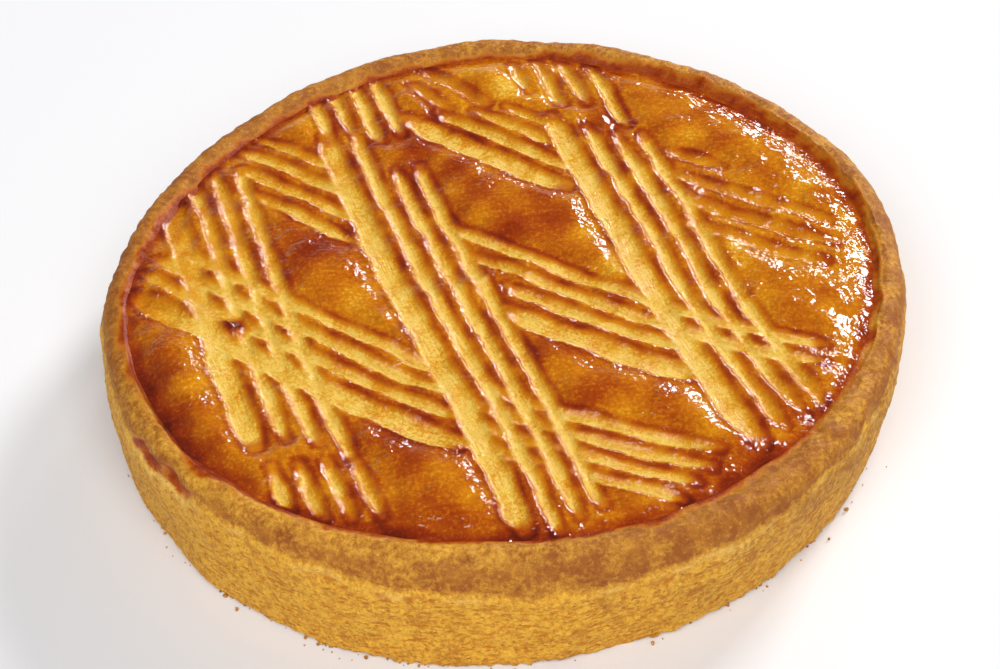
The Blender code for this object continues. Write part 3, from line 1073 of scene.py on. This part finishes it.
    def surface(self) -> tuple[np.ndarray, dict[str, np.ndarray]]:
        """Work out the top of the lid.

        Height = crease, evened out inwards, + the edge's roll, an s-curve, + the dome,
        + the fields' puff, 1 - exp(-(clearance / reach)^2), + swellings and ring blisters
        + ripples beside the rim + unevenness - the grooves.

        Returns:
            The points in mm, and the readings for the material.
        """
        form = self.form
        share, angle = self.disc()
        edge = form.edge_radius(angle)
        radius = share * edge
        x, y = radius * np.cos(angle), radius * np.sin(angle)
        scoring = self.score(x, y)
        spots = np.stack([x, y], axis=-1)
        inset = edge - radius
        inland = smoothstep(*self.inland, inset)
        valley = form.valley.weigh(angle)

        level = form.edge_height(angle)
        height = level.mean() + (level - level.mean()) * share ** 2
        height += form.lid_roll * smoothstep(0.0, form.lid_roll_width, inset)
        height += form.valley_depth * valley * smoothstep(*self.valley_fill, inset)
        height += form.lid_dome * (1.0 - share ** 2)
        field = 1.0 - bell(scoring.clearance, self.puff_reach)
        height += self.puff * field * smoothstep(*self.puff_margin, inset)
        height += weigh_all(self.swellings, x, y) * inland
        for ring in self.blisters:
            from_middle = np.hypot(x - ring.x, y - ring.y)
            height += ring.strength * bell(from_middle - ring.reach, self.blister_wall) * inland
        gathered = smoothstep(0.0, 0.7, np.cos(angle - math.radians(self.ripple_direction)))
        crest = inset / self.ripple_length + self.ripple_wander.weigh(spots)
        ripple = self.ripple_height * gathered * np.cos(2.0 * math.pi * crest)
        height += ripple * bell(inset - self.ripple_inset, self.ripple_spread)
        height += weigh_all(self.heave, spots) * inland
        height += self.skin.weigh(spots) * (1.0 - scoring.bared)
        height -= scoring.depth * smoothstep(*self.groove_margin, inset)

        # How thick and dark the wash is: most along the grooves' edges, and darker beside the rim
        # and in the valley, down towards the crease, which is partly pooled wash and partly painted
        # shade.
        toast = self.toast + self.toast_clouds.weigh(spots)
        ridges = 1.0 - smoothstep(*self.ridge_reach, scoring.clearance)
        toast += (self.ridge_toast + self.ridge_clouds.weigh(spots)) * ridges
        toast -= self.torn_toast * scoring.torn
        toast += weigh_all(self.toasted, x, y) - weigh_all(self.thin, x, y)
        frayed = inset + self.rim_clouds.weigh(spots)
        toast += self.rim_toast_and_shade * (1.0 - smoothstep(*self.rim_reach, frayed))
        toast += self.valley_toast_and_shade * valley * (1.0 - smoothstep(*self.valley_reach, inset))

        bared = scoring.bared * smoothstep(*self.bared_margin, inset)
        bared *= 0.95 + self.bared_clouds.weigh(spots)
        for spot in self.smeared:
            bared *= 1.0 - spot.weigh(x, y)
        bared = np.clip(bared, 0.0, 1.0)

        crackle = self.crackle + weigh_all(self.blistered, x, y)
        crackle += self.groove_crackle * bell(scoring.clearance, self.groove_crackle_reach)
        crackle += self.rim_crackle * bell(inset, self.rim_crackle_reach)
        crackle = crackle * (1.0 - 0.85 * bared) + self.torn_crackle * scoring.torn
        crackle *= np.clip(0.75 + self.crackle_clouds.weigh(spots), 0.15, 1.4)
        points = form.place(radius, height, np.ones_like(radius), angle)
        return points, {"bared": bared, "toast": toast, "crackle": np.clip(crackle, 0.0, 1.4),
                        "stroke": scoring.stroke}

    def build(self, finish: bpy.types.Material) -> bpy.types.Object:
        """Close the lid with a skirt that goes down into the crease and a flat underside.

        Args:
            finish: the glazed crust.

        Returns:
            The lid.
        """
        side = self.quads + 1
        points, readings = self.surface()
        index = np.arange(side * side).reshape(side, side)
        rim = np.concatenate([index[0, :-1], index[:-1, -1], index[-1, :0:-1], index[:0:-1, 0]])
        foot = points[rim] - np.array([0.0, 0.0, self.skirt])
        below = side * side + np.arange(len(rim))
        skirt = np.stack([rim, below, np.roll(below, -1), np.roll(rim, -1)], axis=-1)
        faces = grid_faces(side, side, closed=False) + skirt.tolist() + [below[::-1].tolist()]
        readings = {title: np.concatenate([values, values[rim]])
                    for title, values in readings.items()}
        return write_piece("glazed_lid", np.vstack([points, foot]), faces, finish, readings)


@dataclass(frozen=True)
class CakeWall:
    """The wall, its rolled shoulder and the lip round the lid."""

    form: CakeForm
    columns: int = 1200
    edge_rows: int = 3
    wall_rows: int = 44
    shoulder_rows: int = 21
    lip_rows: int = 8
    sunk: tuple[tuple[float, float], ...] = ((1.3, 1.2), (2.6, 2.3))  # in and down, mm
    # Height of the pale edge line where the tin ended: (direction in degrees, mm).
    tin_line: Points2D = ((-137, 34.0), (-120, 31.3), (-105, 28.8), (-90, 27.0), (-75, 28.8),
                          (-60, 31.4), (-45, 33.6), (0, 33.5), (90, 31.0), (180, 33.0))
    line_wobble: Lumps = Lumps(16.0, 0.7, seed=41)
    under_line: Ramp = (0.5, -1.5)  # mm over the line
    smooth_rim: Ramp = (0.0, 2.5)  # mm from the crease over which the relief sets in
    # Unevenness in mm: of the whole wall, of the shoulder, of the foot.
    heave: tuple[Lumps, ...] = (Lumps(30.0, 0.28, seed=51), Lumps(7.0, 0.10, seed=52),
                                Lumps(2.6, 0.05, seed=53))
    crags: tuple[Lumps, ...] = (Lumps(5.0, 0.09, seed=54), Lumps(2.2, 0.12, seed=59))
    foot_lumps: tuple[Lumps, ...] = (Lumps(2.2, 0.30, seed=55), Lumps(7.0, 0.25, seed=56))
    foot_drawn_in: float = 0.75
    # Heights, in mm, from none to all of: the foot, the craggy shoulder.
    foot: Ramp = (2.6, 0.0)
    craggy: Ramp = (34.0, 37.5)
    # Layers of crumb that pulled apart against the tin, flatter than they're long.
    tears: tuple[Lumps, ...] = (Lumps(4.6, 1.0, seed=57, waves=40),
                                Lumps(2.4, 0.7, seed=58, waves=40))
    layer_flatness: float = 3.2
    layer_height: float = 0.09
    layers_drawn_in: float = 0.15
    pit_depth: float = 0.45
    pit_open: Ramp = (1.25, 2.3)  # of the tears
    pits_from: Ramp = (0.5, 2.5)  # mm over the table
    # The ridge where the tin ended and the dip over it.
    ridge_height: float = 0.24
    dip_depth: float = 0.20
    # The folds of the right-hand shoulder and the flake that tore off beside them.
    folds: Stretch = Stretch(-38.0, 22.0)
    fold_length: float = 3.6
    fold_wander: Lumps = Lumps(24.0, 0.5, seed=43)
    fold_height: float = 0.20
    folds_from: Ramp = (26.0, 31.0)  # mm over the table
    flake: Stretch = Stretch(-61.0, 3.0)
    flake_level: float = 28.5
    flake_height: float = 0.55
    flake_edge: Lumps = Lumps(2.6, 1.0, seed=60)
    # The crack over the tin's line.
    crack_direction: float = -148.5
    crack_reach: float = 10.0
    crack_depth: float = 2.0
    crack_wander: tuple[Lumps, ...] = (Lumps(3.0, 0.22, seed=42), Lumps(9.0, 0.3, seed=44))
    # The fine wrinkles of the lip.
    wrinkle_direction: float = 12.0
    wrinkle_length: float = 1.9
    wrinkle_height: float = 0.28
    # How much browner the right side and the craggy shoulder at the left are.
    right: float = -12.0  # degrees
    left: float = -150.0  # degrees
    right_browning: float = 0.5
    left_browning: float = 0.2
    # How much less the crest of the lip browned in front and, of that, behind.
    front_paleness: float = 0.62
    behind_browning: float = 0.46
    # And where the crest browned more or less than the rest.
    crest_browning: tuple[Stretch, ...] = (
        Stretch(145.0, 45.0, 0.6), Stretch(-68.0, 20.0, 0.65), Stretch(18.0, 25.0, -0.3))
    crest: Ramp = (36.9, 39.6)  # mm over the table
    crest_edge: Lumps = Lumps(9.0, 0.5, seed=61)
    browned_from: Ramp = (0.3, 3.2)  # mm over the line
    right_side: Ramp = (2.0, 28.0)  # mm over the table
    brown_clouds: Lumps = Lumps(12.0, 0.12, seed=62)
    pale_gaps: Lumps = Lumps(11.0, 1.0, seed=63)
    # How far, in mm, the egg wash ran up the lip, and how thick it is.
    spills: tuple[Stretch, ...] = (
        Stretch(-141.0, 7.0, 2.6), Stretch(181.0, 15.0, 1.6), Stretch(50.0, 30.0, 3.4))
    spill_edge: tuple[Lumps, ...] = (Lumps(9.0, 0.5, seed=64), Lumps(2.6, 0.2, seed=65))
    spill_fade: Ramp = (4.2, -1.0)  # mm beyond them
    lip_wash: float = 0.72
    thinner_wash: Stretch = Stretch(45.0, 45.0, 0.08)
    # The crack over the tin's line is coloured with the wash's dark red-brown: painted shade in the
    # crack.
    crack_shade: float = 0.57
    crack_shade_clouds: Lumps = Lumps(6.0, 0.04, seed=66)
    crack_shade_from: Ramp = (0.04, 0.55)  # of the crack's depth

    def profile(self, angle: np.ndarray) -> tuple[np.ndarray, np.ndarray, np.ndarray]:
        """Work out the turned profile in each direction.

        From the base up: a rounded edge, a straight wall that leans out, a superellipse
        quarter for the shoulder, a cosine slope down the lip, and a step under the lid.

        Args:
            angle: directions in radians, one a column.

        Returns:
            Radius, height and outline share (0 base, 1 lid) as (rows, columns) arrays.
        """
        form = self.form
        inner, top = form.shoulder_inner_radius, form.shoulder_height
        turn = np.linspace(0.0, 0.5 * math.pi, self.edge_rows + 1)[:-1]
        share = np.linspace(0.0, 1.0, self.wall_rows + 1)
        roll = np.linspace(0.0, 0.5 * math.pi, self.shoulder_rows + 1)[1:]
        power = 2.0 / form.shoulder_fullness
        out = np.maximum(np.cos(roll), 0.0) ** power
        radii = np.concatenate([
            form.base_radius - form.base_edge * (1.0 - np.sin(turn)),
            form.base_radius + (form.belly_radius - form.base_radius) * share,
            inner + (form.belly_radius - inner) * out])
        heights = np.concatenate([
            form.base_edge * (1.0 - np.cos(turn)),
            form.base_edge + (form.belly_height - form.base_edge) * share,
            form.belly_height + (top - form.belly_height) * np.sin(roll) ** power])
        radius, height = (np.tile(values[:, None], (1, len(angle))) for values in (radii, heights))
        climb = np.clip(height / top, 0.0, 1.0)
        edge, crease = form.edge_radius(angle), form.edge_height(angle)
        share = np.linspace(0.0, 1.0, self.lip_rows + 1)[1:, None]
        drop = 0.5 - 0.5 * np.cos(math.pi * share)
        inwards, down = np.array(self.sunk).T[..., None]
        radius = np.vstack([radius, inner + (edge - inner) * share, edge - inwards])
        height = np.vstack([height, top + (crease - top) * drop, crease - down])
        climb = np.vstack([climb, np.ones((len(radius) - len(climb), len(angle)))])
        return radius, height, climb

    def build(self, finish: bpy.types.Material) -> bpy.types.Object:
        """Roughen the profile, read its browning and close it at both ends.

        The relief = unevenness + layers of crumb - pits + folds and flake + the tin's line,
        a ridge with a dip over it, + the ragged foot - the crack + the lip's wrinkles, and
        it fades out towards the lid.

        Args:
            finish: the bare crust.

        Returns:
            The wall.
        """
        form = self.form
        angle = np.linspace(0.0, 2.0 * math.pi, self.columns, endpoint=False)
        rim = ring_points(angle, form.belly_radius)
        radius, height, climb = self.profile(angle)
        rows = len(radius)
        angles = np.tile(angle, (rows, 1))
        smooth = form.place(radius, height, climb, angles)
        line = around(angle, self.tin_line) + self.line_wobble.weigh(rim)
        over_line = height - line
        to_crease = radius - form.edge_radius(angle)
        on_lip = height > form.belly_height
        shown = np.where(on_lip, smoothstep(*self.smooth_rim, to_crease), 1.0)

        under = smoothstep(*self.under_line, over_line)
        foot = smoothstep(*self.foot, height)
        torn = weigh_all(self.tears, smooth * np.array([1.0, 1.0, self.layer_flatness]))
        pits = smoothstep(*self.pit_open, torn) * under * smoothstep(*self.pits_from, height)
        craggy = smoothstep(*self.craggy, height)
        left = smoothstep(0.1, 0.9, np.cos(angles - math.radians(self.left)))
        relief = weigh_all(self.heave, smooth)
        relief += craggy * (0.3 + 0.7 * left) * weigh_all(self.crags, smooth)
        relief += under * (self.layer_height * torn - self.layers_drawn_in)
        relief -= self.pit_depth * pits
        fold = np.cos(2.0 * math.pi * (height / self.fold_length + self.fold_wander.weigh(rim)))
        fold *= self.folds.weigh(angles) * smoothstep(*self.folds_from, height)
        flake = self.flake.weigh(angles) * bell(height - self.flake_level, 2.4)
        flake *= smoothstep(-0.6, 0.6, self.flake_edge.weigh(smooth))
        relief += self.fold_height * fold + self.flake_height * flake
        relief += self.ridge_height * bell(over_line, 0.8)
        relief -= self.dip_depth * bell(over_line - 1.7, 0.9)
        relief += foot * (weigh_all(self.foot_lumps, smooth) - self.foot_drawn_in)
        crack = self.crack(angles, rim, over_line)
        relief -= self.crack_depth * crack
        relief += self.wrinkles(angles, to_crease)
        relief *= shown
        relief[:2] = np.minimum(relief[:2], 0.0)
        grid = push_out(smooth, relief)
        grid[..., 2] = np.maximum(grid[..., 2], 0.0)
        grid[0, :, 2] = 0.0

        # Browned over the tin's line, less on the crest of the lip, and down the right side.
        crest = smoothstep(*self.crest, height + self.crest_edge.weigh(smooth))
        behind = smoothstep(-0.75, 0.2, np.sin(angles))
        paleness = (self.front_paleness - self.behind_browning * behind) * crest
        browned = smoothstep(*self.browned_from, over_line) * (1.0 - paleness)
        right = smoothstep(0.15, 0.9, np.cos(angles - math.radians(self.right)))
        browned += self.right_browning * right * smoothstep(*self.right_side, height)
        browned += self.left_browning * left * craggy + self.brown_clouds.weigh(smooth)
        browned += weigh_all(self.crest_browning, angles) * crest + 0.22 * fold - flake
        pale = 0.7 * bell(over_line + 0.4, 0.9)
        pale *= smoothstep(-0.9, 1.1, self.pale_gaps.weigh(smooth))
        pale += 0.9 * self.crack(angles, rim, over_line + 2.2) + 0.9 * flake
        spill = weigh_all(self.spills, angles)
        ragged = to_crease + weigh_all(self.spill_edge, smooth) - spill
        wash = self.lip_wash - self.thinner_wash.weigh(angles)
        wash = np.where(on_lip, wash * smoothstep(*self.spill_fade, ragged), 0.0)
        # Dark red-brown in the crack: painted shade.
        in_crack = self.crack_shade + self.crack_shade_clouds.weigh(smooth)
        wash += in_crack * smoothstep(*self.crack_shade_from, crack)
        # The pits reading also darkens the pores' colour in the material: painted shade in the
        # hollows.
        readings = {
            "brown": np.clip(browned, 0.0, 1.2).ravel(), "pale": np.clip(pale, 0.0, 1.0).ravel(),
            "pits": 0.85 * pits.ravel(), "porous": under.ravel(), "wash": wash.ravel(),
        }
        ring = np.arange(self.columns)
        faces = grid_faces(rows, self.columns, closed=True)
        faces += [ring[::-1].tolist(), ((rows - 1) * self.columns + ring).tolist()]
        return write_piece("cake_wall", grid.reshape(-1, 3), faces, finish, readings)

    def crack(self, angles: np.ndarray, rim: np.ndarray, over_line: np.ndarray) -> np.ndarray:
        """Return 0 to 1: the crack that opened over the tin's line at the front left."""
        turn = np.abs(turn_between(angles, self.crack_direction)) / self.crack_reach
        wander = weigh_all(self.crack_wander, rim)
        return smoothstep(1.0, 0.45, turn) * bell(over_line - 0.6 + wander, 2.3)

    def wrinkles(self, angles: np.ndarray, to_crease: np.ndarray) -> np.ndarray:
        """Return the fine wrinkles that run round the lip on its right-hand side, in mm."""
        reach = smoothstep(62.0, 30.0, np.abs(turn_between(angles, self.wrinkle_direction)))
        crest = to_crease / self.wrinkle_length + 0.35 * np.sin(5.0 * angles)
        ripple = self.wrinkle_height * np.cos(2.0 * math.pi * crest)
        return reach * ripple * bell(to_crease - 3.0, 2.6)


@dataclass(frozen=True)
class FootCrumbs:
    """Crumbs lying on the table along the foot of the wall."""

    form: CakeForm
    count: int = 190
    smallest: float = 0.18  # mm, radius
    largest: float = 0.65
    small_share: float = 2.5  # power that makes most of them small
    stretch: tuple[float, float] = (0.7, 1.25)
    lumpiness: float = 0.22
    tucked_in: float = 1.0  # mm that the nearest ones lie inside the base's edge
    spread: float = 1.1  # mm from there, on average
    furthest: float = 5.0  # mm from the base's edge
    rings: int = 4
    sides: int = 7
    seed: int = 71

    def build(self, finish: bpy.types.Material) -> bpy.types.Object:
        """Build every crumb at once, as a lumpy ball.

        A ball's points are sin(t) cos(u), sin(t) sin(u), cos(t), each pushed in or out at
        random, stretched along three axes and turned about the upright.

        Args:
            finish: the crumb's material.

        Returns:
            The crumbs, as one piece.
        """
        draw = np.random.default_rng(self.seed)
        polar = np.linspace(0.0, math.pi, self.rings + 2)[1:-1]
        azimuth = np.linspace(0.0, 2.0 * math.pi, self.sides, endpoint=False)
        tilt, turn = np.meshgrid(polar[::-1], azimuth, indexing="ij")
        ball = np.stack([np.sin(tilt) * np.cos(turn), np.sin(tilt) * np.sin(turn),
                         np.cos(tilt)], axis=-1).reshape(-1, 3)
        ball = np.vstack([ball, [[0.0, 0.0, -1.0], [0.0, 0.0, 1.0]]])
        share = draw.random(self.count) ** self.small_share
        size = self.smallest + (self.largest - self.smallest) * share
        stretch = size[:, None] * draw.uniform(*self.stretch, (self.count, 3))
        lumps = 1.0 + draw.uniform(-self.lumpiness, self.lumpiness, (self.count, len(ball), 1))
        crumbs = ball[None] * lumps * stretch[:, None, :]
        spin = draw.uniform(0.0, 2.0 * math.pi, self.count)[:, None]
        x = crumbs[..., 0] * np.cos(spin) - crumbs[..., 1] * np.sin(spin)
        y = crumbs[..., 0] * np.sin(spin) + crumbs[..., 1] * np.cos(spin)
        direction = draw.uniform(0.0, 2.0 * math.pi, self.count)
        away = draw.exponential(self.spread, self.count) - self.tucked_in
        away = self.form.base_radius + np.minimum(away, self.furthest)
        zeros = np.zeros(self.count)
        spots = self.form.place(away, zeros, zeros, direction)
        lowest = crumbs[..., 2].min(axis=1)
        points = np.stack([x + spots[:, :1], y + spots[:, 1:2],
                           crumbs[..., 2] - lowest[:, None]], axis=-1)
        faces = self.ball_faces()
        shift = (np.arange(self.count) * len(ball)).tolist()
        joined = [[corner + start for corner in face] for start in shift for face in faces]
        return write_piece("foot_crumbs", points.reshape(-1, 3), joined, finish, {})

    def ball_faces(self) -> list[list[int]]:
        """List one ball's faces: bands of quads, with a fan at each pole."""
        faces = grid_faces(self.rings, self.sides, closed=True)
        bottom = self.rings * self.sides
        last = (self.rings - 1) * self.sides
        for side in range(self.sides):
            following = (side + 1) % self.sides
            faces.append([bottom, following, side])
            faces.append([bottom + 1, last + side, last + following])
        return faces


# ---- the studio ----


@dataclass(frozen=True)
class Viewpoint:
    """The camera: a long lens that looks down on the cake from the front."""

    target: tuple[float, float] = (-1.1, 18.0)  # mm, the point on the table it looks at
    distance: float = 830.3
    elevation: float = 43.05
    roll: float = 4.51
    lens: float = 100.8
    sensor: float = 36.0

    def build(self) -> bpy.types.Object:
        """Place the camera and make it the scene's.

        Returns:
            The camera.
        """
        slope, roll = math.radians(self.elevation), math.radians(self.roll)
        forward = Vector((0.0, math.cos(slope), -math.sin(slope)))
        level, upright = Vector((1.0, 0.0, 0.0)), Vector((0.0, math.sin(slope), math.cos(slope)))
        right = level * math.cos(roll) - upright * math.sin(roll)
        up = level * math.sin(roll) + upright * math.cos(roll)
        turned = Matrix((right, up, -forward)).transposed().to_4x4()
        spot = Vector((*self.target, 0.0)) - forward * self.distance
        data = bpy.data.cameras.new("camera")
        data.lens, data.sensor_width = self.lens, self.sensor
        camera = into_scene("camera", data)
        camera.matrix_world = Matrix.Translation(spot * MM) @ turned
        bpy.context.scene.camera = camera
        return camera


@dataclass(frozen=True)
class Softbox:
    """A soft rectangular light, aimed at the cake.

    Attributes:
        name: what it is called.
        bearing: its direction from straight behind the cake, to the right, in degrees.
        elevation: its height over the table, in degrees.
        distance: metres from the cake.
        width: metres.
        height: metres.
        power: watts.
        colour: its sRGB colour.
    """

    name: str
    bearing: float
    elevation: float
    distance: float
    width: float
    height: float
    power: float
    colour: str = "#FFFFFF"

    def build(self) -> bpy.types.Object:
        """Place the light, facing the cake's middle."""
        turn, rise = math.radians(self.bearing), math.radians(self.elevation)
        towards = Vector((math.sin(turn) * math.cos(rise), math.cos(turn) * math.cos(rise),
                          math.sin(rise)))
        data = bpy.data.lights.new(self.name, "AREA")
        data.shape = "RECTANGLE"
        data.size, data.size_y = self.width, self.height
        data.energy = self.power
        data.color = linear(self.colour)[:3]
        light = into_scene(self.name, data)
        light.location = towards * self.distance
        light.rotation_euler = towards.to_track_quat("Z", "Y").to_euler()
        return light


@dataclass(frozen=True)
class Studio:
    """A plain pale table in a white room, with a window behind on the right."""

    table_colour: str = "#EAEAEC"
    table_roughness: float = 0.9
    table_specular: float = 0.1
    room_colour: str = "#FFFFFF"
    room_strength: float = 0.12
    table_size: float = 6.0
    lights: tuple[Softbox, ...] = (
        Softbox("window", 42.0, 32.0, 3.0, 0.78, 0.65, 62.0),
        Softbox("front_fill", 184.0, 50.0, 3.2, 3.2, 2.0, 108.0),
        Softbox("far_window", 20.0, 10.0, 3.0, 0.34, 0.80, 20.0),
        Softbox("far_wall", -10.0, 6.0, 2.6, 3.0, 0.5, 2.5),
    )

    def build(self) -> None:
        """Lay the table, light the room and set how the picture is shown."""
        half = 0.5 * self.table_size
        mesh = bpy.data.meshes.new("table_top")
        corners = [(-half, -half, 0.0), (half, -half, 0.0), (half, half, 0.0), (-half, half, 0.0)]
        mesh.from_pydata(corners, [], [(0, 1, 2, 3)])
        cloth, _, shader = new_material("pale_table")
        feed(shader, {"Base Color": linear(self.table_colour),
                      "Roughness": self.table_roughness,
                      "Specular IOR Level": self.table_specular})
        mesh.materials.append(cloth)
        table = into_scene("table_top", mesh)
        table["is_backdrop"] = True
        room = bpy.data.worlds.new("white_room")
        room.use_nodes = True
        feed(room.node_tree.nodes["Background"], {
            "Color": linear(self.room_colour), "Strength": self.room_strength})
        scene = bpy.context.scene
        scene.world = room
        for light in self.lights:
            light.build()
        scene.view_settings.view_transform = "Standard"
        scene.view_settings.look = "None"


def main(cad_box: tuple[Vector, Vector]) -> None:
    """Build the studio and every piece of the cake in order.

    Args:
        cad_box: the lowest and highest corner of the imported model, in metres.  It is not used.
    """
    form = CakeForm()
    Viewpoint().build()
    Studio().build()
    GlazedLid(form).build(EggWashedCrust().make())
    CakeWall(form).build(BakedWallCrust().make())
    FootCrumbs(form).build(CrumbFinish().make())


if __name__ == "__main__":
    logging.basicConfig(level=logging.INFO, format="%(name)s: %(message)s")
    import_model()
    main(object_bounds())
